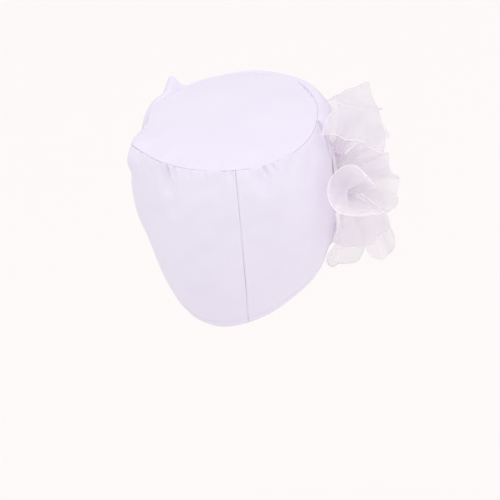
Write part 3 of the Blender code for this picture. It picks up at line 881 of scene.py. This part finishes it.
def cap_cloth():
    """A soft matt lilac-white cloth of a fine plain weave."""
    finish = Finish("lilac_cloth")
    slub = finish.noise(scale=900.0)
    finish.surface(
        Base_Color=finish.colours(finish.noise(scale=22.0), *LILAC),
        Roughness=slub * 0.14 + 0.58,
        Normal=finish.raised(
            finish.weave(pitch=0.0005) * 0.5 + slub * 0.5, strength=0.16, distance=0.0002
        ),
        Sheen_Weight=0.25,
        Sheen_Roughness=0.5,
        Specular_IOR_Level=0.3,
    )
    return finish.material


def organza():
    """A crisp sheer organza that lets light through, denser where it is gathered and in its hem, with painted
    shade that darkens it towards its roots.
    """
    finish = Finish("pale_organza")
    cloud = finish.noise(scale=40.0)
    hem, layers = finish.attribute("hem"), finish.attribute("layers")
    # Near the root the organza is gathered, so it covers more. Its colour is also painted darker and pinker
    # there, as shade deep in the flower.
    gathered = (1.0 - finish.attribute("depth")) ** 4.0
    finish.surface(
        Base_Color=finish.colours(gathered, finish.colours(cloud, *ORGANZA_WHITE), ORGANZA_ROOT_SHADE),
        Roughness=cloud * 0.1 + 0.36,
        Normal=finish.raised(finish.weave(pitch=0.0004), strength=0.12, distance=0.0002),
        Alpha=(gathered * ROOT_COVER + PLAIN_COVER) * layers + hem * HEM_COVER,
        Sheen_Weight=0.3,
        Specular_IOR_Level=0.45,
    )
    lit_through = finish.node("ShaderNodeBsdfTranslucent", {}, {"Color": (*ORGANZA_LIT, 1)})
    share = (LIT_THROUGH - hem * HEM_DULLS) * layers
    face = Shade(finish, finish.shader.outputs[0])
    both = finish.node("ShaderNodeMixShader", {}, {0: share, 1: face, 2: lit_through})
    finish.fill(finish.output, {"Surface": both})
    return finish.material


def buckram():
    """A stiff open backing cloth."""
    finish = Finish("white_buckram")
    grain = finish.noise(scale=700.0)
    finish.surface(
        Base_Color=finish.colours(grain, *BUCKRAM_WHITE),
        Roughness=0.85,
        Normal=finish.raised(grain, strength=0.3, distance=0.0003),
    )
    return finish.material


def floor_finish():
    finish = Finish("pale_floor")
    low = tuple(level * FLOOR_SHADE for level in FLOOR_COLOUR)
    finish.surface(
        Base_Color=finish.colours(finish.noise(scale=0.6), low, FLOOR_COLOUR),
        Roughness=0.9,
        Specular_IOR_Level=0.1,
    )
    return finish.material


# Stage.


def facing(azimuth, elevation):
    """The direction that a camera or light looks along. Azimuth 0 looks along +Y."""
    a, e = math.radians(azimuth), math.radians(elevation)
    return Vector((-math.sin(a) * math.cos(e), math.cos(a) * math.cos(e), -math.sin(e)))


def make_camera():
    look = facing(AZIMUTH, ELEVATION)
    right = Vector((math.cos(math.radians(AZIMUTH)), math.sin(math.radians(AZIMUTH)), 0))
    up = (-look).cross(right)
    roll = math.radians(ROLL)
    tilted_right = right * math.cos(roll) - up * math.sin(roll)
    tilted_up = right * math.sin(roll) + up * math.cos(roll)
    data = bpy.data.cameras.new("camera")
    data.lens, data.sensor_width = LENS, SENSOR
    data.clip_start, data.clip_end = CLIP_START, CLIP_END
    camera = bpy.data.objects.new("camera", data)
    turn = Matrix((tilted_right, tilted_up, -look)).transposed()
    camera.matrix_world = Matrix.Translation(AIM - look * DISTANCE) @ turn.to_4x4()
    bpy.context.scene.collection.objects.link(camera)
    bpy.context.scene.camera = camera


def make_floor():
    bpy.ops.mesh.primitive_plane_add(size=FLOOR_SIZE, location=(0, 0, FLOOR_LEVEL))
    floor = bpy.context.object
    floor.name = "floor"
    bpy.ops.object.transform_apply(location=True)
    floor.data.materials.append(floor_finish())


def make_lights():
    world = bpy.data.worlds.new("pale_room")
    world.use_nodes = True
    sky = world.node_tree.nodes["Background"]
    sky.inputs[0].default_value = (*SKY_COLOUR, 1)
    sky.inputs[1].default_value = SKY_STRENGTH
    bpy.context.scene.world = world
    for name, strength, azimuth, elevation in SUNS:
        sun = bpy.data.lights.new(name, "SUN")
        sun.energy, sun.angle = strength, math.radians(SUN_ANGLE)
        light = bpy.data.objects.new(name, sun)
        light.rotation_euler = facing(azimuth, elevation).to_track_quat("-Z", "Y").to_euler()
        bpy.context.scene.collection.objects.link(light)
    bpy.context.scene.view_settings.view_transform = "Standard"


def main():
    make_camera()
    make_floor()
    make_lights()
    lilac, sheer = cap_cloth(), organza()
    make_tip(lilac)
    left = (LEFT_SEAM[0] - 360, LEFT_SEAM[1] - 360)
    make_panel("back_left_cloth", "back_panel_left", left, BACK_SEAM, lilac)
    make_panel("back_right_cloth", "back_panel_right", BACK_SEAM, RIGHT_SEAM, lilac, BACK_SEAM)
    make_drape(lilac)
    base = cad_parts["flower_base"]
    base.data.materials.clear()
    base.data.materials.append(buckram())
    for number, petal in enumerate(PETALS):
        make_petal(number, petal, sheer)


main()
